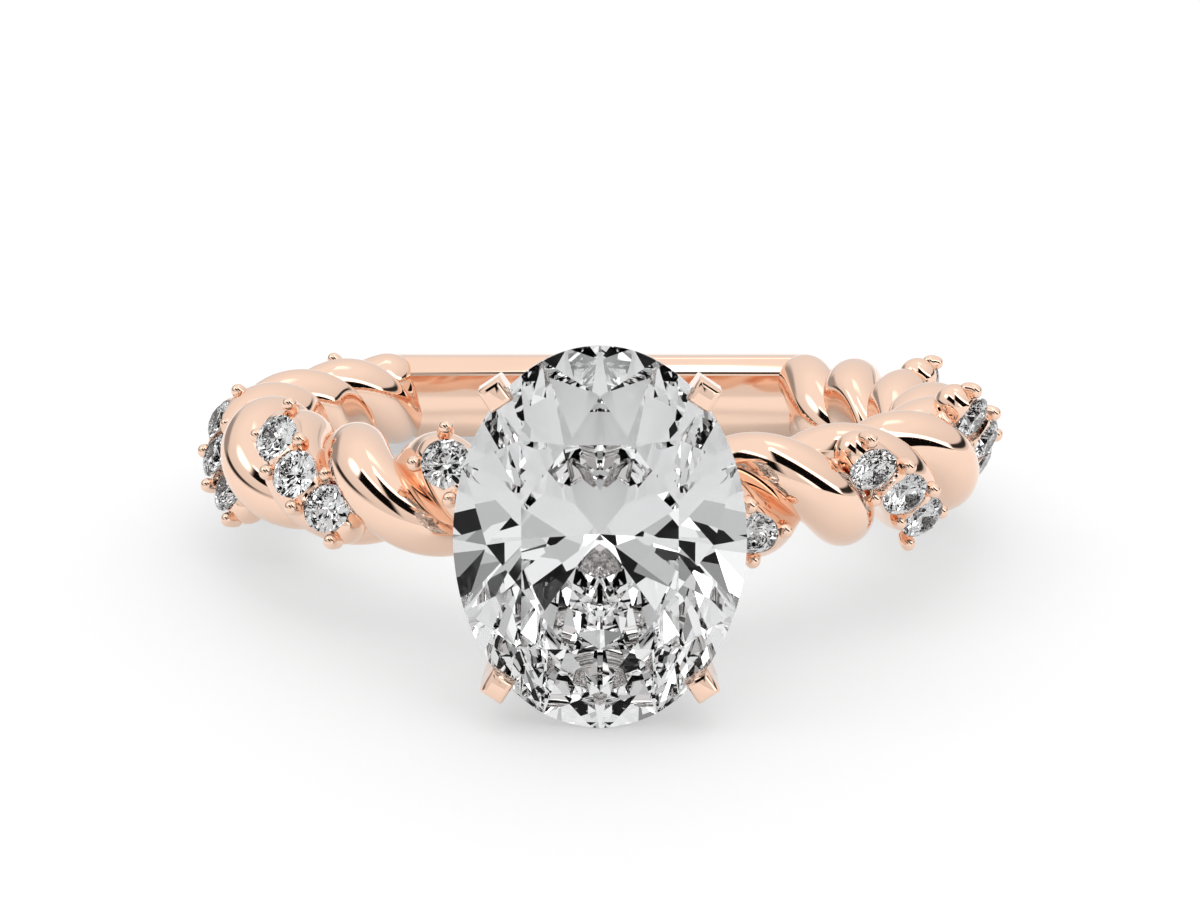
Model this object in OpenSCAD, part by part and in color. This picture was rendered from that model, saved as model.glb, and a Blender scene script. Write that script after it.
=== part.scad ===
// Ring with a shank of two twisted strands, an oval centre stone in four claws and small
// round stones in rows on one strand. Sizes in mm. It lies on its side, front towards -Y,
// finger axis near Z, resting on the centre stone's edge and on the back of the shank.

/* [Shank] */
// Inside radius of the finger hole
finger_r = 8.25; // [8.0:0.05:8.6]
// Distance from the finger hole to the circle that the strands wind round
rope_off = 1; // [0.9:0.05:1.2]
// Distance of each strand's middle from that circle
twist_r = 0.74; // [0.65:0.01:0.8]
// Radius of each strand
strand_r = 0.84; // [0.78:0.01:0.9]
// Angle round the finger that one full turn of the twist takes
pitch = 33.6; // [33.2:0.1:34]

/* [Back bar] */
// Length of the straight bar at the back
bar_l = 12.6; // [12:0.1:13]
// Width of the bar along the finger
bar_w = 2.5; // [2.2:0.1:2.6]
// Thickness of the bar
bar_t = 1.75; // [1.6:0.05:1.9]
// How far the bar's inner face lies inside the finger hole's circle
bar_inset = 0.5; // [0.3:0.05:0.6]
// Width of the bar's long chamfers
bar_bevel = 0.45; // [0.3:0.05:0.6]

/* [Centre stone] */
// Width of the stone across the finger
stone_w = 6.8; // [6.4:0.1:7.2]
// Length of the stone along the finger
stone_l = 9; // [8.6:0.1:9.4]
// Distance from the shank's crest to the stone's widest plane
stone_rise = 3.17; // [3.1:0.05:3.5]
// Height of the part above the widest plane
crown_h = 1.1; // [0.9:0.05:1.3]
// Depth of the part below the widest plane
pavilion_h = 2.9; // [2.6:0.05:3]
// Thickness of the stone's edge
edge_t = 0.14; // [0.1:0.01:0.2]

/* [Claws] */
// Side of each square claw
claw_s = 0.62; // [0.55:0.01:0.7]
// Height of the claw tips above the stone's widest plane
claw_top = 0.62; // [0.55:0.01:0.7]
// Side of the claw where it joins the shank
claw_foot = 0.7; // [0.6:0.05:0.9]
// Thickness of the rail behind the stone
rail_t = 0.6; // [0.5:0.05:0.8]

/* [Small stones] */
// Diameter of a small stone
small_d = 1.26; // [1.1:0.02:1.3]
// Distance between neighbouring small stones
small_pitch = 1.36; // [1.34:0.01:1.4]
// Height of a row's tables above the shank's crest
small_lift = -0.04; // [-0.1:0.01:0.06]
// Radius of a bead prong
bead_r = 0.2; // [0.16:0.01:0.22]
// Distance of a bead prong from the middle of its row
bead_out = 0.6; // [0.56:0.01:0.64]
// Turn of a row towards the side of its strand
flank = 33; // [25:1:38]

/* [Fit] */
// Gap between a stone and the metal round it
stone_gap = 0.03; // [0.02:0.005:0.05]

/* [Hidden] */
rows_a_side = 4;
per_row = 3;
count = 2 * rows_a_side * per_row;
rope_r = finger_r + rope_off;
shank_h = twist_r + strand_r;
shank_out = rope_r + shank_h;
bar_in = finger_r - bar_inset;
cut_x = bar_l / 2 - 0.2 * bar_t;
stone_out = shank_out + stone_rise;
small_l = shank_out + small_lift;
small_crown = 0.16 * small_d;
small_depth = 0.4 * small_d;
small_edge = 0.04 * small_d;
// how far the middle of each row lies behind its strand's outermost point, front to back
row_shift = [-2, -3.7, -2.5, 1.5];
// height of each row's middle as a share of the shank's half width, left side and right side
row_up = [[0.22, 0.26, -0.04, 0], [0.03, 0.19, -0.1, 0]];
// rise of each row outwards for one step along it, as a share of a small stone's diameter
row_rise = [0, -0.03, 0.07, 0];
// slope of the rows against the ring's plane
row_slope = 34;
// share by which a row sinks below the shank's crest at its first stone either way
row_sag = 0.125;
tip_x = 0.35 * stone_w;
tip_z = 0.379 * stone_l;
foot_x = 0.16 * stone_w;
foot_z = 0.5 * shank_h;
foot_y = -(rope_r + 0.25 * shank_h);
claw_base = stone_out - claw_s;
claw_turn = 33;
rail_at = 0.6;
strand_sides = 12;
steps = 10;
rope_end = 182 - asin(cut_x / shank_out);
back_y = rope_r * cos(180 - 4.25 * pitch);
rest_tilt = atan((stone_l / 2 - shank_h) / (stone_out - edge_t / 2 + back_y));
rest_up = shank_h * cos(rest_tilt) + back_y * sin(rest_tilt);
table_share = 0.57;
front_y = (stone_out + crown_h) * cos(rest_tilt)
    + table_share * stone_l / 2 * sin(67.5) * sin(rest_tilt);
rear_y = (bar_in + bar_t) * cos(rest_tilt) + (bar_w / 2 - bar_bevel) * sin(rest_tilt);
mid_y = (front_y - rear_y) / 2;

function unit(v) = v / norm(v);

// middle of a strand at angle t from the front, for the strand that starts at angle a0
function mid(t, a0) = let (a = a0 - 360 / pitch * t, r = rope_r + twist_r * cos(a))
    [r * sin(t), -r * cos(t), twist_r * sin(a)];

// points of one round section of a strand, square to its path
function section(t, a0) = let (
        p = mid(t, a0),
        along = unit(mid(t + 0.5, a0) - mid(t - 0.5, a0)),
        out = [sin(t), -cos(t), 0],
        u = unit(out - (out * along) * along),
        v = cross(along, u))
    [for (k = [0:strand_sides - 1]) let (b = 360 * k / strand_sides)
        p + strand_r * (cos(b) * u + sin(b) * v)];

module strand(a0) {
    n = ceil(2 * rope_end / pitch * steps);
    s = strand_sides;
    pts = [for (i = [0:n]) each section(-rope_end + 2 * rope_end * i / n, a0)];
    polyhedron(pts, concat(
        [[for (k = [0:s - 1]) k], [for (k = [s - 1:-1:0]) n * s + k]],
        [for (i = [0:n - 1], k = [0:s - 1]) let (a = i * s + k, b = i * s + (k + 1) % s)
            each [[a, b + s, b], [a, a + s, b + s]]]), convexity = 20);
}

// straight bar with chamfered long edges
module back_bar() {
    c = bar_bevel;
    hull() {
        translate([-bar_l / 2, bar_in, c - bar_w / 2]) cube([bar_l, bar_t, bar_w - 2 * c]);
        translate([-bar_l / 2, bar_in + c, -bar_w / 2]) cube([bar_l, bar_t - 2 * c, bar_w]);
    }
}

// place k steps along row g of one side, z outwards, x along the row; the right side is the
// left side turned half round the line through the centre stone
module on_row(side, g, k) {
    t = (g + 0.5) * pitch + row_shift[g] + k * small_pitch * cos(row_slope) / small_l * 180 / PI;
    r = small_l * (1 - row_sag * pow(k * small_pitch / small_l, 2) * 8) + row_rise[g] * k * small_d;
    z = shank_h * row_up[side < 0 ? 0 : 1][g] + k * small_pitch * sin(row_slope);
    rotate([0, side < 0 ? 0 : 180, 0])
        translate([-r * sin(t), -r * cos(t), z])
            multmatrix(row_frame(t)) children();
}

// axes of a place on a left row: along it, across it, out of it
function row_frame(t) = let (
        out = [-sin(t), -cos(t), 0],
        fore = [cos(t), -sin(t), 0],
        up = [0, 0, 1],
        along = -cos(row_slope) * fore + sin(row_slope) * up,
        over = sin(row_slope) * fore + cos(row_slope) * up,
        n = cos(flank) * out + sin(flank) * over,
        w = cross(n, along))
    [[along.x, w.x, n.x, 0], [along.y, w.y, n.y, 0], [along.z, w.z, n.z, 0], [0, 0, 0, 1]];

// cut stone: widest plane at z = 0, table up, g = growth all round
module cut_stone(w, l, crown, depth, edge, table, g = 0) {
    a = w / 2 + g;
    b = l / 2 + g;
    s = (depth + g) / depth;
    pts = concat(
        [for (i = [0:7]) let (q = (i + 0.5) * 45)
            [table * a * cos(q), table * b * sin(q), crown + g]],
        [for (i = [0:7]) let (q = i * 45, m = (1 + table) / 2 * 1.04)
            [m * a * cos(q), m * b * sin(q), edge / 2 + (crown + g - edge / 2) * 0.56]],
        [for (i = [0:15]) [a * cos(i * 22.5), b * sin(i * 22.5), edge / 2 + g]],
        [for (i = [0:15]) [a * cos(i * 22.5), b * sin(i * 22.5), -edge / 2 - g]],
        [[0, 0, -depth * s]]);
    polyhedron(pts, concat(
        [[for (i = [7:-1:0]) i]],
        [for (i = [0:7]) let (h = (i + 7) % 8, n = (i + 1) % 8, c = 16 + 2 * i) each [
            [h, i, 8 + i],
            [i, 8 + n, 8 + i],
            [8 + i, 8 + n, c + 1],
            [8 + i, c + 1, c],
            [8 + i, c, 16 + (2 * i + 15) % 16]]],
        [for (i = [0:15]) let (n = (i + 1) % 16) each [
            [16 + i, 16 + n, 32 + n], [16 + i, 32 + n, 32 + i],
            [32 + i, 32 + n, 48]]]), convexity = 4);
}

module small_stone() {
    translate([0, 0, -small_crown])
        cut_stone(small_d, small_d, small_crown, small_depth, small_edge, table_share);
}

// room for a small stone, its gap included
module small_pocket() {
    r = (small_d / 2 + stone_gap) / cos(22.5);
    hull() translate([0, 0, -small_crown - small_edge - stone_gap]) rotate([0, 0, 22.5]) {
        translate([0, 0, -small_depth]) cylinder(h = small_depth, r1 = small_edge, r2 = r, $fn = 8);
        cylinder(h = 0.5 * small_d, r = r, $fn = 8);
    }
}

// metal under and beside one row of small stones
module row_metal(side, g) {
    for (k = [-1.2:0.8:0.4]) hull() for (m = [0, 0.8])
        on_row(side, g, k + m) translate([0, 0, -0.58 * small_d]) sphere(r = 0.4 * small_d, $fn = 6);
    for (k = [-1.5:1:1.5], w = [-1, 1]) hull() on_row(side, g, k) {
        translate([0, w * bead_out, -bead_r])
            cylinder(h = 0.7 * bead_r, r1 = bead_r, r2 = 0.6 * bead_r, $fn = 6);
        translate([0, w * 0.32 * small_d, -0.6 * small_d])
            cylinder(h = 0.08 * small_d, r1 = 0.5 * bead_r, r2 = bead_r, $fn = 6);
    }
}

module centre_place(g = 0) {
    translate([0, -stone_out, 0]) rotate([90, 0, 0])
        cut_stone(stone_w, stone_l, crown_h, pavilion_h, edge_t, table_share, g);
}

// block of a claw, square seen from the front and turned to face the stone's middle
module claw_block(sx, sz, x, y, z, side, thick) {
    translate([sx * x, y, sz * z]) rotate([0, -sx * sz * claw_turn, 0])
        cube([side, thick, side], center = true);
}

module claw(sx, sz) {
    long = stone_out + claw_top - claw_base;
    hull() claw_block(sx, sz, tip_x, -claw_base - long / 2, tip_z, claw_s, long);
    hull() {
        claw_block(sx, sz, tip_x, -claw_base - 0.1 * claw_s, tip_z, claw_s, 0.2 * claw_s);
        claw_block(sx, sz, foot_x, foot_y, foot_z, claw_foot, 0.2 * claw_s);
    }
}

// plain oval rail that ties the claws together behind the stone
module rail() {
    y = foot_y - (claw_base + foot_y) * rail_at;
    x = (foot_x + (tip_x - foot_x) * rail_at) * sqrt(2);
    z = (foot_z + (tip_z - foot_z) * rail_at) * sqrt(2);
    for (i = [0:23]) hull() for (m = [0, 1]) let (q = (i + m) * 15)
        translate([x * cos(q), y, z * sin(q)]) rotate([0, -q, 0])
            cube([rail_t, rail_t, 0.02], center = true);
}

module at_rest() {
    translate([0, mid_y, rest_up]) rotate([-rest_tilt, 0, 0]) children();
}

module band() {
    color([0.9, 0.73, 0.64]) at_rest() difference() {
        union() {
            difference() {
                union() {
                    strand(0);
                    strand(180);
                }
                cylinder(h = 3 * shank_h, r = finger_r, center = true, $fn = 60);
                translate([-cut_x, 0, -1.5 * shank_h]) cube([2 * cut_x, 2 * rope_r, 3 * shank_h]);
            }
            back_bar();
            for (sx = [-1, 1], sz = [-1, 1]) claw(sx, sz);
            rail();
            for (side = [-1, 1], g = [0:rows_a_side - 1]) row_metal(side, g);
        }
        centre_place(stone_gap);
        for (side = [-1, 1], g = [0:rows_a_side - 1], k = [-1:1])
            on_row(side, g, k) small_pocket();
    }
}

module centre_stone() {
    color([0.93, 0.95, 0.98]) at_rest() centre_place();
}

module accent_stone(i) {
    side = i < count / 2 ? -1 : 1;
    j = i % (count / 2);
    color([0.93, 0.95, 0.98]) at_rest() on_row(side, floor(j / per_row), j % per_row - 1) small_stone();
}

band();
centre_stone();
for (i = [0:count - 1]) accent_stone(i);
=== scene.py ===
import math

import bmesh
import bpy
from mathutils import Matrix, Vector


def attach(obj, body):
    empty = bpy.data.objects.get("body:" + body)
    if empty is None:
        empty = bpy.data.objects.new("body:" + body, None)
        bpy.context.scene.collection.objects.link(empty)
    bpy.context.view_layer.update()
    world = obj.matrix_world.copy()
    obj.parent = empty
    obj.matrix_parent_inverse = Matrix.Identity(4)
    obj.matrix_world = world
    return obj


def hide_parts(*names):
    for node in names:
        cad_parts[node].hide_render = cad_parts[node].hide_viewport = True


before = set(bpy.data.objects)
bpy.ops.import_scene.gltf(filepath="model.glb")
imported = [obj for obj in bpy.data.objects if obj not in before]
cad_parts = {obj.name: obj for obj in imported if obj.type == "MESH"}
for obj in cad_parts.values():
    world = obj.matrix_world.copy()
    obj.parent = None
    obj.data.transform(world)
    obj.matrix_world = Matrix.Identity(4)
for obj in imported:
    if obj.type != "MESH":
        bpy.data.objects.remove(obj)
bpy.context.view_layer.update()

# Sizes in mm and angles in degrees, in the ring's own frame: finger axis Z, centre stone towards
# -Y. The angle t goes round the finger axis, 0 at the centre stone and 180 at the bar.
FINGER_R = 8.25
ROPE_OFF, BAR_INSET, STONE_RISE = 1.0, 0.5, 3.17
TWIST_R, STRAND_R, PITCH = 0.74, 0.84, 33.6
ROPE_R = FINGER_R + ROPE_OFF
SHANK_H = TWIST_R + STRAND_R
SHANK_OUT = ROPE_R + SHANK_H

# Each strand: its steps and sides, and how far before and after a step its direction is taken.
STRAND_STEPS, STRAND_SIDES, LOOK = 760, 56, 0.2
# Near the bar the strands swing out by SWING and close up by the share CLOSE, to end in domes inside
# the bar's end faces. A dome stops END_SPARE short of its point.
SWING_FROM, STRAND_END, END_DOME, END_SPARE = 122, 145, 4.5, 0.2
SWING, CLOSE = 1.0, 0.25
# The strands are held out of the finger hole from this radius, and how softly.
EASE_R, EASE = FINGER_R - 0.25, 0.08

BAR_L, BAR_W, BAR_T, BAR_IN, BAR_BEVEL = 12.6, 2.5, 1.75, FINGER_R - BAR_INSET, 0.45
BAR_SOFT, BAR_SOFT_STEPS = 0.09, 4

# Brilliant cuts: FACET is half the angle between two main facets. TABLE, STAR and LOWER are shares:
# the table's width, and the lengths of the star facets and of the long facets under the edge.
FACET, TABLE, STAR, LOWER = 22.5, 0.57, 0.5, 0.77
STONE_W, STONE_L, STONE_OUT, STONE_SIDES = 6.8, 9.0, SHANK_OUT + STONE_RISE, 96
CROWN_H, PAVILION_H, EDGE_T = 1.1, 2.9, 0.14

# Legs and claws. FOOT is where a leg starts, in the shank, and TIP_X and TIP_Z are where it passes
# the stone's edge, both as shares of the stone's size and the shank's.
CLAW_S, CLAW_TOP, CLAW_FOOT, CLAW_TURN = 0.62, 0.62, 0.7, 33
FOOT = (0.16 * STONE_W, -(ROPE_R + 0.25 * SHANK_H), 0.5 * SHANK_H)
TIP_X, TIP_Z = 0.35 * STONE_W, 0.379 * STONE_L
CLAW_BASE = STONE_OUT - CLAW_S
# Steps up a claw, as shares of its height and of its thickness.
CLAW_STEPS = ((0.3, 1), (0.6, 1), (0.82, 1), (0.92, 0.95), (0.98, 0.8), (1, 0.6))
# A square rod's edges are rounded by this share of its half thickness, through these angles.
CLAW_SOFT, CLAW_ARC = 0.2, (-30, -10, 10, 30)
# The rail crosses the legs at this share of the way from foot to claw.
RAIL_AT, RAIL_T, RAIL_STEPS, RAIL_SIDES = 0.6, 0.6, 96, 16

# Small stones, in rows of three. SMALL_L is how far a row's middle stone is from the finger axis.
# The stones lean over by FLANK, and a row climbs by ROW_SLOPE. ROW_SAG bends it round the shank.
SMALL_D, SMALL_PITCH, SMALL_LIFT, SMALL_SIDES = 1.26, 1.36, -0.04, 48
SMALL_CROWN, SMALL_DEPTH, SMALL_EDGE = 0.16 * SMALL_D, 0.42 * SMALL_D, 0.04 * SMALL_D
SMALL_L = SHANK_OUT + SMALL_LIFT
FLANK, ROW_SLOPE, ROW_SAG = 33, 34, 1.0
# For rows 0 to 3, from the centre stone to the bar: the shift round the shank, how much further out
# each next stone is as a share of SMALL_D and, on each side, the height as a share of SHANK_H.
ROW_SHIFT = (-2, -3.7, -2.5, 1.5)
ROW_RISE = (0, -0.03, 0.07, 0)
ROW_UP = {-1: (0.22, 0.26, -0.04, 0), 1: (0.03, 0.19, -0.1, 0)}
ROWS = [(side, g) for side in (-1, 1) for g in range(len(ROW_SHIFT))]
SMALL_PLACES = [(side, g, k) for side, g in ROWS for k in (-1, 0, 1)]

# A row's seat is a round rod under the stones. It reaches SEAT_REACH stones to each side of the
# middle one, in SEAT_STEPS steps.
SEAT_R, SEAT_DEPTH, SEAT_REACH, SEAT_STEPS = 0.56, 0.58, 1.3, 6
SEAT_SIDES, SEAT_CAPS = 36, 8
# Bead prongs stand in pairs at these places, counted in stones from the middle one. Their steps are
# (sideways from BEAD_OUT, height).
BEAD_R, BEAD_OUT, BEAD_SIDES, BEAD_CAPS = 0.2, 0.6, 24, 7
BEAD_PLACES = (-1.5, -0.5, 0.5, 1.5)
BEAD_STEPS = ((-0.08, -0.38), (-0.02, -0.28), (0, 0.02 - BEAD_R))
# A rod's dome starts at this share of its first step, so that it doesn't end in a point.
CAP_START = 0.3

# A stone's pocket is a cone with a well over it: steps of (height, radius), shares of SMALL_D.
# POCKET is the room round the stone and WELL the well's height, shares too.
POCKET, WELL, POCKET_SIDES = 0.018, 0.8, 32
POCKET_STEPS = ((-0.62, 0.02), (-0.2, 0.5 + POCKET), (WELL, 0.5 + POCKET))
# A channel's half width and its floor, shares of SMALL_D, and how far it rises over the wells.
CHANNEL_W, CHANNEL_LOW, CHANNEL_OVER = 0.46, -0.07, 0.02

# Meshes, in metres: points nearer than MERGE become one and edges under SLIVER go. Of what a cut
# leaves loose, bits under CRUMB of the largest one's area go. Bends over SHARP degrees stay sharp.
MERGE, SLIVER, CRUMB, SHARP = 1e-8, 2e-7, 0.1, 30
# The same two tolerances where a stone of half width 1 is cut.
FACET_CUT, FACET_MERGE = 1e-7, 1e-6

# How the ring lies. It rests on the centre stone's lower edge and on a strand's lowest point, which
# is REST_TURNS turns of the twist away and BACK_Y behind the finger axis. So it is turned about X
# by TILT, in radians, and then moved to the middle of its box, on the floor.
REST_TURNS = 4.25
BACK_Y = ROPE_R * math.cos(math.radians(180 - REST_TURNS * PITCH))
TILT = math.atan((STONE_L / 2 - SHANK_H) / (STONE_OUT - EDGE_T / 2 + BACK_Y))
UP = SHANK_H * math.cos(TILT) + BACK_Y * math.sin(TILT)
FRONT_Y = ((STONE_OUT + CROWN_H) * math.cos(TILT)
           + TABLE * STONE_L / 2 * math.sin(math.radians(3 * FACET)) * math.sin(TILT))
REAR_Y = (BAR_IN + BAR_T) * math.cos(TILT) + (BAR_W / 2 - BAR_BEVEL) * math.sin(TILT)
REST = (Matrix.Translation((0, (FRONT_Y - REAR_Y) / 2 * 1e-3, UP * 1e-3))
        @ Matrix.Rotation(-TILT, 4, "X") @ Matrix.Scale(1e-3, 4))

# Camera in the ring's frame: elevation over the ring's plane, distance, pixels of the photo per mm
# and how far the ring's middle is above the picture's.
CAM_EL, CAM_D, CAM_SCALE, CAM_RISE = 9.53, 80.2, 35.8, 0.271
IMAGE_W = 1200
# The floor's size and how far back its middle is, in metres.
FLOOR_SIZE, FLOOR_BACK = 2.4, 0.3
# How often light may bounce, which the stones need.
BOUNCES = 16

# Colours, and the metal's roughness: ranges that a soft noise runs through.
GOLD = ((0.925, 0.655, 0.51, 1), (0.94, 0.675, 0.53, 1))
GOLD_ROUGH = (0.035, 0.075)
GEM = ((0.955, 0.965, 0.975, 1), (1, 1, 1, 1))
FLOOR = ((0.56, 0.56, 0.56, 1), (0.58, 0.58, 0.58, 1))
# Metal seen through a stone is mixed with this grey, by this share.
GOLD_IN_GEM, GREY_SHARE = (0.6, 0.6, 0.6, 1), 0.9
# Painted light: the floor's glow, which lifts the shadows on it and lights the metal from below, seen
# straight and through a stone.
FLOOR_PAINTED_LIGHT = (0.5, 0.2)

# Studio light. First the brightness of the dome at the horizon and at DOME_EL. Then oval panels:
# azimuth from the front towards the right, elevation, half width, half height, softness (a share
# of the size) and brightness. Last stripes, each part of a circle around ACROSS: height towards
# ACROSS, half width, middle and half length in azimuth, brightness.
DOME, DOME_EL = (0.79, 1.03), 60
PANELS = (
    (-80, 46, 18, 9, 0.4, 2.2),
    (180, 74, 60, 7, 0.5, 1.6),
    (-105, 7, 52, 4.5, 0.4, 0.03),
    (104, 7, 42, 4, 0.4, 0.03),
    (-134, 12, 19, 12, 0.4, 0.35),
)
ACROSS = (0.664, 0.221, 0.714)
STRIPES = (
    (43, 5, 34, 46, 2.4),
    (12, 4, 46, 30, 1.9),
    (27, 12, 40, 46, 0.004),
    (14, 4, -40, 24, 2.2),
    (1, 11, -34, 30, 0.004),
)
STRIPE_SOFT, STRIPE_END_SOFT = 0.8, 4.0
# The stones see the dome alone, broken into cells of random brightness (the share of the cells
# where each step starts, and its factor), and then panels of their own.
CELL_SCALE = 6.5
CELL_STEPS = ((0, 0.01), (0.13, 0.3), (0.25, 0.62), (0.42, 0.9), (0.62, 1.0), (0.93, 2.2))
GEM_PANELS = (
    (-62, 26, 6, 19, 0.1, 0.003),
    (52, 30, 5.5, 17, 0.1, 0.003),
    (8, 70, 40, 5, 0.1, 0.004),
    (-28, 52, 7, 9, 0.1, 0.003),
    (-6, 42, 4, 10, 0.1, 0.003),
    (-18, 66, 9, 6, 0.1, 2.8),
    (34, 12, 7, 6, 0.1, 2.8),
    (-44, 30, 5, 10, 0.1, 2.6),
)


# Node helpers

def add_node(tree, kind, inputs=(), **settings):
    """A new node. inputs gives, by name or number, a value or the socket that it comes from."""
    node = tree.nodes.new(kind)
    for name, value in settings.items():
        setattr(node, name, value)
    for name, value in dict(inputs).items():
        if isinstance(value, bpy.types.NodeSocket):
            tree.links.new(value, node.inputs[name])
        else:
            node.inputs[name].default_value = value
    return node


def remap(tree, value, low, high):
    """The value, from 0 to 1, run from low to high."""
    inputs = {"Value": value, "To Min": low, "To Max": high}
    return add_node(tree, "ShaderNodeMapRange", inputs).outputs["Result"]


def ramp(tree, value, colors, ends=(0, 1)):
    """The value as a colour, from the first at one of the ends to the second at the other."""
    node = add_node(tree, "ShaderNodeValToRGB", {"Fac": value})
    for mark, end, color in zip(node.color_ramp.elements, ends, colors):
        mark.position = end
        mark.color = color
    return node.outputs["Color"]


# Materials

def new_material(name):
    mat = bpy.data.materials.new(name)
    mat.use_nodes = True
    return mat, mat.node_tree, mat.node_tree.nodes["Principled BSDF"]


def rose_gold(name):
    """Polished metal with faint clouds in its colour and polish."""
    mat, tree, shader = new_material(name)
    shader.inputs["Metallic"].default_value = 1.0
    coords = add_node(tree, "ShaderNodeTexCoord").outputs["Object"]
    cloud = add_node(tree, "ShaderNodeTexNoise", {"Vector": coords, "Scale": 380, "Detail": 3})
    tint = ramp(tree, cloud.outputs["Fac"], GOLD, (0.3, 0.7))
    ray = add_node(tree, "ShaderNodeLightPath")
    share = remap(tree, ray.outputs["Transmission Depth"], 0, GREY_SHARE)
    # Inputs 6 and 7 and output 2 of a mix are its colours.
    pale = add_node(tree, "ShaderNodeMix", {"Factor": share, 6: tint, 7: GOLD_IN_GEM}, data_type="RGBA")
    tree.links.new(pale.outputs[2], shader.inputs["Base Color"])
    rough = remap(tree, cloud.outputs["Fac"], *GOLD_ROUGH)
    tree.links.new(rough, shader.inputs["Roughness"])
    grain = add_node(tree, "ShaderNodeTexNoise", {"Vector": coords, "Scale": 900, "Detail": 2})
    relief = {"Height": grain.outputs["Fac"], "Strength": 0.02, "Distance": 2e-5}
    bump = add_node(tree, "ShaderNodeBump", relief)
    tree.links.new(bump.outputs["Normal"], shader.inputs["Normal"])
    return mat


def cut_gem(name):
    """Clear stone. The low specular tint keeps its outer faces from mirroring the studio."""
    mat, tree, shader = new_material(name)
    shader.inputs["Roughness"].default_value = 0.0
    shader.inputs["IOR"].default_value = 2.42
    shader.inputs["Transmission Weight"].default_value = 1.0
    shader.inputs["Specular Tint"].default_value = (0.02, 0.02, 0.02, 1)
    coords = add_node(tree, "ShaderNodeTexCoord").outputs["Object"]
    cloud = add_node(tree, "ShaderNodeTexNoise", {"Vector": coords, "Scale": 300})
    tree.links.new(ramp(tree, cloud.outputs["Fac"], GEM), shader.inputs["Base Color"])
    return mat


def pale_floor(name):
    """Nearly white floor with painted light: a little glow that lifts its shadows and lights the metal
    from below.
    """
    mat, tree, shader = new_material(name)
    shader.inputs["Roughness"].default_value = 0.6
    shader.inputs["Specular IOR Level"].default_value = 0.1
    shader.inputs["Emission Color"].default_value = (1, 1, 1, 1)
    # Painted light: the floor glows, more dimly where it is seen through a stone.
    ray = add_node(tree, "ShaderNodeLightPath")
    painted_glow = remap(tree, ray.outputs["Is Transmission Ray"], *FLOOR_PAINTED_LIGHT)
    tree.links.new(painted_glow, shader.inputs["Emission Strength"])
    cloud = add_node(tree, "ShaderNodeTexNoise", {"Scale": 40})
    tree.links.new(ramp(tree, cloud.outputs["Fac"], FLOOR), shader.inputs["Base Color"])
    return mat


# Mesh helpers. A shape is a pair: a list of points in the ring's frame and a list of faces.

def add_piece(name, shape, mat, node, smooth=SHARP, local=None):
    """A piece of the shape, which the matrix local may place first. It stands in for the node."""
    verts, faces = shape
    mesh = bpy.data.meshes.new(name)
    mesh.from_pydata([tuple(v) for v in verts], [], faces)
    mesh.transform(REST @ local if local else REST)
    bm = bmesh.new()
    bm.from_mesh(mesh)
    bmesh.ops.remove_doubles(bm, verts=bm.verts, dist=MERGE)
    bmesh.ops.recalc_face_normals(bm, faces=bm.faces)
    bm.to_mesh(mesh)
    bm.free()
    if smooth:
        mesh.shade_smooth()
        mesh.set_sharp_from_angle(angle=math.radians(smooth))
    mesh.materials.append(mat)
    obj = bpy.data.objects.new(name, mesh)
    bpy.context.scene.collection.objects.link(obj)
    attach(obj, "root")
    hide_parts(node)
    return obj


def join(shapes):
    """One shape from several."""
    verts, faces = [], []
    for v, f in shapes:
        base = len(verts)
        verts += v
        faces += [tuple(i + base for i in face) for face in f]
    return verts, faces


def loft(rings):
    """Closed skin over rings of equally many points, with flat ends."""
    n = len(rings[0])
    verts = [p for ring in rings for p in ring]
    faces = [tuple(range(n))[::-1], tuple((len(rings) - 1) * n + k for k in range(n))]
    for i in range(len(rings) - 1):
        for k in range(n):
            a, b = i * n + k, i * n + (k + 1) % n
            faces.append((a, b, b + n, a + n))
    return verts, faces


def circle(p, u, v, r, sides):
    """Points round p, in the plane of u and v."""
    return [p + u * r * math.cos(2 * math.pi * k / sides) + v * r * math.sin(2 * math.pi * k / sides)
            for k in range(sides)]


def heading(points, i):
    """Direction of the path at its point i."""
    return (points[min(i + 1, len(points) - 1)] - points[max(i - 1, 0)]).normalized()


def rod(points, r, sides, caps):
    """Round rod along points, with a dome of caps steps at each end."""
    dome = [math.pi / 2 * (c + CAP_START) / caps for c in range(caps)]
    rings = []
    u = None
    for i, p in enumerate(points):
        d = heading(points, i)
        u = (u - d * u.dot(d)).normalized() if u else d.orthogonal().normalized()
        v = d.cross(u)
        if i == 0:
            rings += [circle(p - d * r * math.cos(a), u, v, r * math.sin(a), sides) for a in dome]
        rings.append(circle(p, u, v, r, sides))
        if i == len(points) - 1:
            rings += [circle(p + d * r * math.cos(a), u, v, r * math.sin(a), sides)
                      for a in reversed(dome)]
    return loft(rings)


def cutter(name, shape):
    """A plain object for cut to use, removed later."""
    verts, faces = shape
    obj = bpy.data.objects.new(name, bpy.data.meshes.new(name))
    obj.data.from_pydata([REST @ v for v in verts], [], faces)
    bpy.context.scene.collection.objects.link(obj)
    return obj


def cut(obj, tools):
    """Takes the tools' shapes out of obj."""
    for tool in tools:
        mod = obj.modifiers.new(tool.name, "BOOLEAN")
        mod.operation, mod.solver, mod.object = "DIFFERENCE", "EXACT", tool
    graph = bpy.context.evaluated_depsgraph_get()
    mesh = bpy.data.meshes.new_from_object(obj.evaluated_get(graph))
    obj.modifiers.clear()
    clear_crumbs(mesh)
    obj.data = mesh


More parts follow.
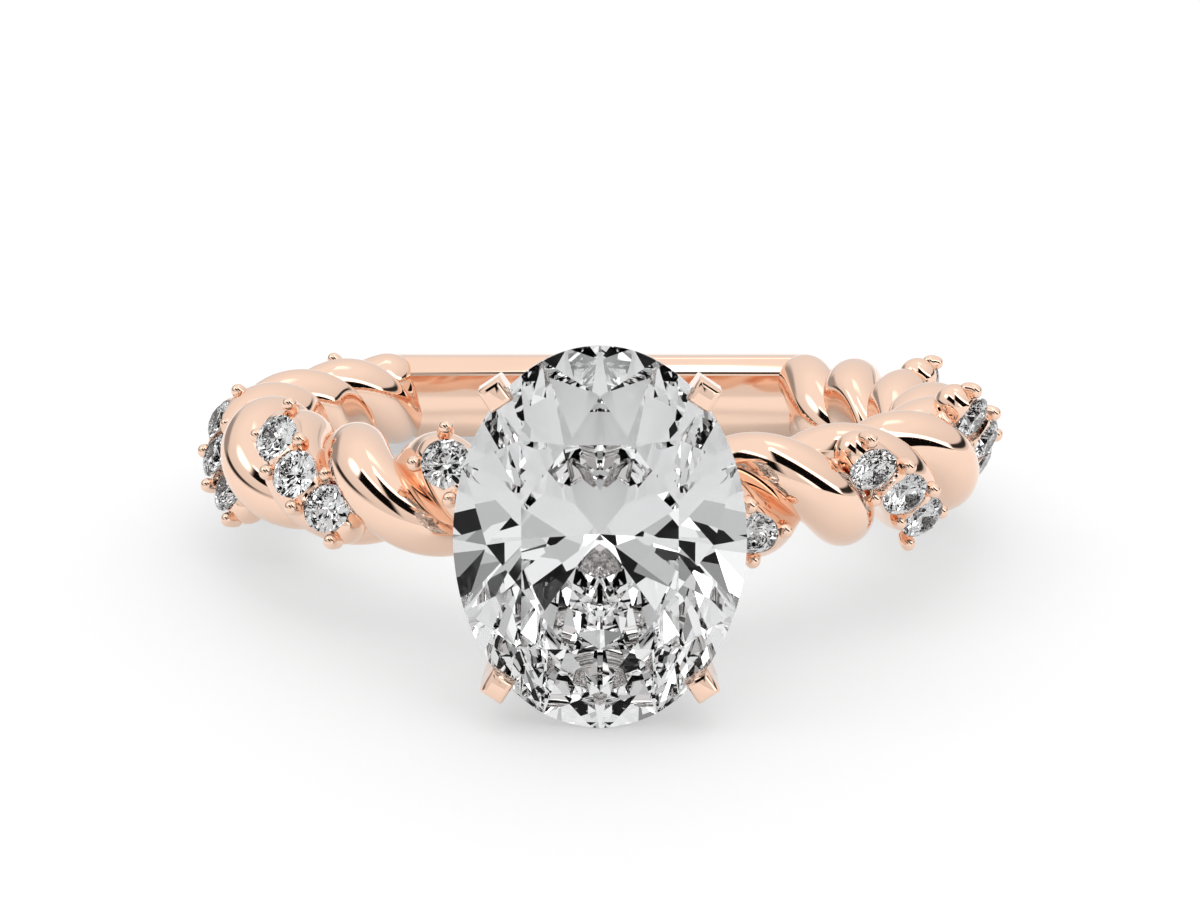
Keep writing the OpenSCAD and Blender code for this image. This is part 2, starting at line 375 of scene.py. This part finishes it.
def clear_crumbs(mesh):
    """Takes out the folded slivers and the loose bits that a cut leaves."""
    bm = bmesh.new()
    bm.from_mesh(mesh)
    bmesh.ops.dissolve_degenerate(bm, edges=bm.edges, dist=SLIVER)
    bmesh.ops.remove_doubles(bm, verts=bm.verts, dist=SLIVER)
    bmesh.ops.triangulate(bm, faces=bm.faces)
    seen = {}
    for face in bm.faces:
        seen.setdefault(frozenset(face.verts), []).append(face)
    folded = [face for twins in seen.values() if len(twins) > 1 for face in twins]
    bmesh.ops.delete(bm, geom=folded, context="FACES_ONLY")
    left = set(bm.faces)
    islands = []
    while left:
        island, front = set(), [left.pop()]
        while front:
            face = front.pop()
            island.add(face)
            near = {f for v in face.verts for f in v.link_faces} & left
            left -= near
            front += near
        islands.append((sum(f.calc_area() for f in island), island))
    largest = max(area for area, island in islands)
    for area, island in islands:
        if area < CRUMB * largest:
            bmesh.ops.delete(bm, geom=list(island), context="FACES")
    bmesh.ops.delete(bm, geom=[e for e in bm.edges if not e.link_faces], context="EDGES")
    bmesh.ops.delete(bm, geom=[v for v in bm.verts if not v.link_faces], context="VERTS")
    bm.to_mesh(mesh)
    bm.free()
    mesh.set_sharp_from_angle(angle=math.radians(SHARP))


# Shank

def strand_mid(t, start):
    """Middle of a strand at t. start is where in its twist it is at the centre stone."""
    a = math.radians(start - 360 / PITCH * t)
    swing = min(1, max(0, (abs(t) - SWING_FROM) / (STRAND_END - SWING_FROM)))
    swing = swing ** 2 * (3 - 2 * swing)
    twist = TWIST_R * (1 - CLOSE * swing)
    r = ROPE_R + SWING * swing + twist * math.cos(a)
    t = math.radians(t)
    return Vector((r * math.sin(t), -r * math.cos(t), twist * math.sin(a)))


def strand(start):
    """One of the shank's two strands, from one end of the bar round to the other."""
    rings = []
    for i in range(STRAND_STEPS + 1):
        t = -STRAND_END + 2 * STRAND_END * i / STRAND_STEPS
        along = (strand_mid(t + LOOK, start) - strand_mid(t - LOOK, start)).normalized()
        out = Vector((math.sin(math.radians(t)), -math.cos(math.radians(t)), 0))
        u = (out - along * out.dot(along)).normalized()
        left = min(1, (STRAND_END + END_SPARE - abs(t)) / END_DOME)
        r = STRAND_R * math.sqrt(1 - (1 - left) ** 2)
        ring = circle(strand_mid(t, start), u, along.cross(u), r, STRAND_SIDES)
        rings.append([in_shank(p) for p in ring])
    return loft(rings)


def in_shank(p):
    """The point, eased out of the finger hole."""
    r = math.hypot(p.x, p.y)
    out = EASE_R + EASE * math.log1p(math.exp((r - EASE_R) / EASE))
    return Vector((p.x * out / r, p.y * out / r, p.z))


def back_bar():
    """Straight bar: long edges chamfered, the chamfers' own edges softened."""
    y, z, c = BAR_T / 2, BAR_W / 2, BAR_BEVEL
    corners = [(y, z - c), (y - c, z), (c - y, z), (-y, z - c),
               (-y, c - z), (c - y, -z), (y - c, -z), (y, c - z)]
    section = soften(corners, BAR_SOFT, BAR_SOFT_STEPS)
    return loft([[Vector((x, BAR_IN + y + a, b)) for a, b in section] for x in (-BAR_L / 2, BAR_L / 2)])


def soften(corners, r, steps):
    """The closed outline with each corner cut back by r and rounded."""
    out = []
    for i, c in enumerate(corners):
        c = Vector(c)
        before = (Vector(corners[i - 1]) - c).normalized() * r
        after = (Vector(corners[(i + 1) % len(corners)]) - c).normalized() * r
        for k in range(steps + 1):
            t = k / steps
            out.append((c + before * (1 - t) ** 2 + after * t ** 2).to_tuple())
    return out


# Setting of the centre stone

def square_rod(points, sizes, inward):
    """Square rod with rounded edges, one of its sides facing inward."""
    rings = []
    for i, p in enumerate(points):
        d = heading(points, i)
        u = (inward - d * inward.dot(d)).normalized()
        v = d.cross(u)
        h = sizes[i] / 2
        e = CLAW_SOFT * h
        ring = []
        for corner, su, sv in ((45, 1, 1), (135, -1, 1), (225, -1, -1), (315, 1, -1)):
            for turn in CLAW_ARC:
                a = math.radians(corner + turn)
                ring.append(p + u * ((h - e) * su + e * math.cos(a))
                            + v * ((h - e) * sv + e * math.sin(a)))
        rings.append(ring)
    return loft(rings)


def claw(sx, sz):
    """A leg from the shank, and its claw past the stone's edge. sx and sz pick the quarter."""
    foot = Vector((sx * FOOT[0], FOOT[1], sz * FOOT[2]))
    base = Vector((sx * TIP_X, -CLAW_BASE, sz * TIP_Z))
    turn = math.radians(CLAW_TURN)
    inward = Vector((-sx * math.sin(turn), 0, -sz * math.cos(turn)))
    top = -(STONE_OUT + CLAW_TOP)
    points = [foot, foot.lerp(base, 0.5), base]
    sizes = [CLAW_FOOT, (CLAW_FOOT + CLAW_S) / 2, CLAW_S]
    for share, size in CLAW_STEPS:
        points.append(Vector((base.x, base.y + (top - base.y) * share, base.z)))
        sizes.append(CLAW_S * size)
    return square_rod(points, sizes, inward)


def rail():
    """Round wire bent to the oval that runs through the four legs."""
    y = FOOT[1] - (CLAW_BASE + FOOT[1]) * RAIL_AT
    a = (FOOT[0] + (TIP_X - FOOT[0]) * RAIL_AT) * math.sqrt(2)
    b = (FOOT[2] + (TIP_Z - FOOT[2]) * RAIL_AT) * math.sqrt(2)
    n, m = RAIL_STEPS, RAIL_SIDES
    verts, faces = [], []
    for i in range(n):
        q = 2 * math.pi * i / n
        out = Vector((math.cos(q) * b, 0, math.sin(q) * a)).normalized()
        mid = Vector((a * math.cos(q), y, b * math.sin(q)))
        verts += circle(mid, out, Vector((0, 1, 0)), RAIL_T / 2, m)
        for k in range(m):
            faces.append((i * m + k, i * m + (k + 1) % m,
                          (i + 1) % n * m + (k + 1) % m, (i + 1) % n * m + k))
    return verts, faces


# Rows of small stones

def row_place(side, g, k):
    """Matrix of the place k stones along row g: x along the row, y across it, z out of it."""
    slope, flank = math.radians(ROW_SLOPE), math.radians(FLANK)
    t = math.radians((g + 0.5) * PITCH + ROW_SHIFT[g]) + k * SMALL_PITCH * math.cos(slope) / SMALL_L
    r = SMALL_L * (1 - ROW_SAG * (k * SMALL_PITCH / SMALL_L) ** 2) + ROW_RISE[g] * k * SMALL_D
    z = SHANK_H * ROW_UP[side][g] + k * SMALL_PITCH * math.sin(slope)
    out = Vector((-math.sin(t), -math.cos(t), 0))
    fore = Vector((math.cos(t), -math.sin(t), 0))
    along = -math.cos(slope) * fore + Vector((0, 0, math.sin(slope)))
    over = math.sin(slope) * fore + Vector((0, 0, math.cos(slope)))
    n = math.cos(flank) * out + math.sin(flank) * over
    w = n.cross(along)
    m = Matrix((along, w, n)).transposed().to_4x4()
    m.translation = Vector((-r * math.sin(t), -r * math.cos(t), z))
    return m if side < 0 else Matrix.Rotation(math.pi, 4, "Y") @ m


def row_seat(side, g):
    """The metal that a row's stones sit in, before their pockets are cut."""
    places = [-SEAT_REACH + i * SEAT_REACH / SEAT_STEPS for i in range(2 * SEAT_STEPS + 1)]
    points = [row_place(side, g, k) @ Vector((0, 0, -SEAT_DEPTH)) for k in places]
    return rod(points, SEAT_R, SEAT_SIDES, SEAT_CAPS)


def row_prongs(side, g):
    """A row's bead prongs, domed at the top and sunk into the seat."""
    prongs = []
    for k in BEAD_PLACES:
        m = row_place(side, g, k)
        for w in (-1, 1):
            points = [m @ Vector((0, w * (BEAD_OUT + out), up)) for out, up in BEAD_STEPS]
            prongs.append(rod(points, BEAD_R, BEAD_SIDES, BEAD_CAPS))
    return join(prongs)


def row_channels():
    """Room between the stones of each row, above their widest planes."""
    w, low, high = CHANNEL_W * SMALL_D, CHANNEL_LOW * SMALL_D, WELL * SMALL_D + CHANNEL_OVER
    corners = [Vector((0, -w, low)), Vector((0, w, low)), Vector((0, w, high)), Vector((0, -w, high))]
    channels = []
    for side, g in ROWS:
        # From the first stone to the last, in quarters of a stone.
        places = [row_place(side, g, -1 + i / 4) for i in range(9)]
        channels.append(loft([[m @ c for c in corners] for m in places]))
    return join(channels)


def stone_pockets():
    """Room for every small stone: a cone under its edge and a well above it."""
    x, y = Vector((1, 0, 0)), Vector((0, 1, 0))
    cone = [circle(Vector((0, 0, up * SMALL_D)), x, y, r * SMALL_D, POCKET_SIDES)
            for up, r in POCKET_STEPS]
    places = [row_place(*place) for place in SMALL_PLACES]
    return join([loft([[m @ p for p in ring] for ring in cone]) for m in places])


# Stones

def brilliant(w, l, crown, depth, edge, sides):
    """A brilliant cut, its widest plane at z = 0: a round blank cut by one plane for each facet."""
    def at(r, q, z):
        q = math.radians(q + FACET)
        return Vector((r * math.cos(q), r * math.sin(q), z))

    half = math.cos(math.radians(FACET))
    top = edge / 2
    star_r = TABLE * half + STAR * (1 - TABLE * half)
    star_z = top + (crown - top) * (1 - star_r * half) / (1 - TABLE)
    low_r = 1 - LOWER
    low_z = -depth + (depth - top) * low_r * half
    planes = [(at(0, 0, crown), Vector((0, 0, 1)))]
    for i in range(8):
        q, between, following = 2 * i * FACET, (2 * i + 1) * FACET, (2 * i + 2) * FACET
        corner, nearby = at(TABLE, q, crown), at(TABLE, following, crown)
        tip, low = at(star_r, between, star_z), at(low_r, between, low_z)
        outer, middle, nextone = at(1, q, top), at(1, between, top), at(1, following, top)
        down = Vector((0, 0, -edge))
        facets = [(corner, tip, nearby), (tip, outer, middle), (tip, middle, nextone),
                  (corner, outer, tip), (low, outer + down, middle + down),
                  (low, middle + down, nextone + down), (at(0, 0, -depth), low, outer + down)]
        for p, q1, q2 in facets:
            n = (q1 - p).cross(q2 - p).normalized()
            planes.append((p, n if n.dot(p + q1 + q2) > 0 else -n))
    bm = bmesh.new()
    bmesh.ops.create_cone(bm, cap_ends=True, segments=sides, radius1=1, radius2=1, depth=2 * depth)
    bmesh.ops.rotate(bm, verts=bm.verts, matrix=Matrix.Rotation(math.pi / sides, 3, "Z"))
    for point, normal in planes:
        geom = bm.verts[:] + bm.edges[:] + bm.faces[:]
        found = bmesh.ops.bisect_plane(bm, geom=geom, dist=FACET_CUT, plane_co=point, plane_no=normal,
                                       clear_outer=True)["geom_cut"]
        edges = [e for e in found if isinstance(e, bmesh.types.BMEdge) and e.is_boundary]
        if edges:
            bmesh.ops.contextual_create(bm, geom=edges)
    bmesh.ops.remove_doubles(bm, verts=bm.verts, dist=FACET_MERGE)
    bm.verts.index_update()
    verts = [Vector((v.co.x * w / 2, v.co.y * l / 2, v.co.z)) for v in bm.verts]
    faces = [tuple(v.index for v in f.verts) for f in bm.faces]
    bm.free()
    return verts, faces


# The ring and its studio

def build_ring():
    gold = rose_gold("rose_gold")
    gem, small_gem = cut_gem("oval_gem"), cut_gem("small_gem")

    def metal(name, shape):
        return add_piece(name, shape, gold, "band")

    tools = [cutter("channels", row_channels()), cutter("pockets", stone_pockets())]
    cut(metal("strand_plain", strand(0)), tools)
    cut(metal("strand_with_stones", strand(180)), tools)
    metal("back_bar", back_bar())
    metal("claws_and_rail", join([claw(sx, sz) for sx in (-1, 1) for sz in (-1, 1)] + [rail()]))
    cut(metal("row_seats", join([row_seat(side, g) for side, g in ROWS])), tools)
    metal("bead_prongs", join([row_prongs(side, g) for side, g in ROWS]))
    for tool in tools:
        bpy.data.objects.remove(tool)
    place = Matrix.Translation((0, -STONE_OUT, 0)) @ Matrix.Rotation(math.radians(90), 4, "X")
    oval = brilliant(STONE_W, STONE_L, CROWN_H, PAVILION_H, EDGE_T, STONE_SIDES)
    add_piece("centre_gem", oval, gem, "centre_stone", smooth=0, local=place)
    small = brilliant(SMALL_D, SMALL_D, SMALL_CROWN, SMALL_DEPTH, SMALL_EDGE, SMALL_SIDES)
    for i, (side, g, k) in enumerate(SMALL_PLACES, 1):
        place = row_place(side, g, k) @ Matrix.Translation((0, 0, -SMALL_CROWN))
        add_piece(f"small_gem_{i}", small, small_gem, f"accent_stone_{i}",
                  smooth=0, local=place)


def build_floor():
    bpy.ops.mesh.primitive_plane_add(size=FLOOR_SIZE, location=(0, FLOOR_BACK, 0))
    floor = bpy.context.object
    floor.name = "floor"
    floor.data.materials.append(pale_floor("floor_pale"))


def build_world():
    """Bright studio dome with a few panels and dark and bright stripes."""
    world = bpy.data.worlds.new("studio")
    bpy.context.scene.world = world
    world.use_nodes = True
    tree = world.node_tree

    def maths(kind, *values):
        return add_node(tree, "ShaderNodeMath", enumerate(values), operation=kind).outputs["Value"]

    def vector(kind, *values):
        node = add_node(tree, "ShaderNodeVectorMath", enumerate(values), operation=kind)
        return node.outputs["Value" if kind in ("LENGTH", "DOT_PRODUCT") else "Vector"]

    def degrees(angle):
        """From radians."""
        return maths("MULTIPLY", angle, 180 / math.pi)

    def below(value, limit, soft):
        """1 where value is under limit, fading over soft."""
        inputs = {"Value": value, "From Min": limit + soft, "From Max": limit - soft}
        node = add_node(tree, "ShaderNodeMapRange", inputs, interpolation_type="SMOOTHSTEP")
        return node.outputs["Result"]

    def blend(mask, a, b):
        """a, turning to b where mask is 1."""
        return add_node(tree, "ShaderNodeMix", {"Factor": mask, "A": a, "B": b}).outputs["Result"]

    coords = add_node(tree, "ShaderNodeTexCoord").outputs["Generated"]
    x, y, z = add_node(tree, "ShaderNodeSeparateXYZ", {"Vector": coords}).outputs
    az = degrees(maths("ARCTAN2", x, maths("MULTIPLY", y, -1.0)))
    el = degrees(maths("ARCSINE", z))
    place = add_node(tree, "ShaderNodeCombineXYZ", {"X": az, "Y": el}).outputs["Vector"]

    def with_panels(value, panels):
        for p_az, p_el, half_az, half_el, soft, level in panels:
            size = (1 / half_az, 1 / half_el, 0)
            shift = (-p_az / half_az, -p_el / half_el, 0)
            off = vector("LENGTH", vector("MULTIPLY_ADD", place, size, shift))
            value = blend(below(off, 1.0, soft), value, level)
        return value

    dome = {"Value": el, "From Max": DOME_EL, "To Min": DOME[0], "To Max": DOME[1]}
    open_light = add_node(tree, "ShaderNodeMapRange", dome).outputs["Result"]
    value = with_panels(open_light, PANELS)
    height = degrees(maths("ARCSINE", vector("DOT_PRODUCT", coords, ACROSS)))
    for at, half, mid, reach, level in STRIPES:
        mask = below(maths("ABSOLUTE", maths("SUBTRACT", height, at)), half, STRIPE_SOFT)
        near = below(maths("ABSOLUTE", maths("SUBTRACT", az, mid)), reach, STRIPE_END_SOFT)
        value = blend(maths("MULTIPLY", mask, near), value, level)

    cells = add_node(tree, "ShaderNodeTexVoronoi", {"Vector": coords, "Scale": CELL_SCALE})
    cell = add_node(tree, "ShaderNodeSeparateColor", {"Color": cells.outputs["Color"]}).outputs[0]
    steps = add_node(tree, "ShaderNodeValToRGB", {"Fac": cell})
    steps.color_ramp.interpolation = "CONSTANT"
    for i, (start, factor) in enumerate(CELL_STEPS):
        mark = steps.color_ramp.elements[i] if i < 2 else steps.color_ramp.elements.new(start)
        mark.position = start
        mark.color = (factor, factor, factor, 1)
    in_gem = with_panels(maths("MULTIPLY", open_light, steps.outputs["Color"]), GEM_PANELS)
    ray = add_node(tree, "ShaderNodeLightPath").outputs["Is Transmission Ray"]
    back = tree.nodes["Background"]
    back.inputs["Color"].default_value = (1, 1, 1, 1)
    tree.links.new(blend(ray, value, in_gem), back.inputs["Strength"])
    # The dome is bright all over, so rays need no aiming at its bright parts.
    world.cycles.sampling_method = "NONE"


def build_camera():
    el = math.radians(CAM_EL)
    view = Vector((0, math.cos(el), -math.sin(el)))
    rise = Vector((0, math.sin(el), math.cos(el)))
    pos = REST @ (-CAM_D * view - CAM_RISE * rise)
    data = bpy.data.cameras.new("camera")
    data.sensor_width = 36
    data.lens = CAM_SCALE * CAM_D / IMAGE_W * data.sensor_width
    data.clip_start = 0.005
    cam = bpy.data.objects.new("camera", data)
    bpy.context.scene.collection.objects.link(cam)
    turn = REST.to_3x3()
    z = -(turn @ view).normalized()
    y = (turn @ rise).normalized()
    cam.matrix_world = Matrix.Translation(pos) @ Matrix((y.cross(z), y, z)).transposed().to_4x4()
    bpy.context.scene.camera = cam


build_ring()
build_floor()
build_world()
build_camera()
cycles = bpy.context.scene.cycles
cycles.max_bounces = cycles.glossy_bounces = cycles.transmission_bounces = BOUNCES
cycles.caustics_reflective = cycles.caustics_refractive = False
colours = bpy.context.scene.view_settings
colours.view_transform = "Standard"
colours.exposure = 0.0
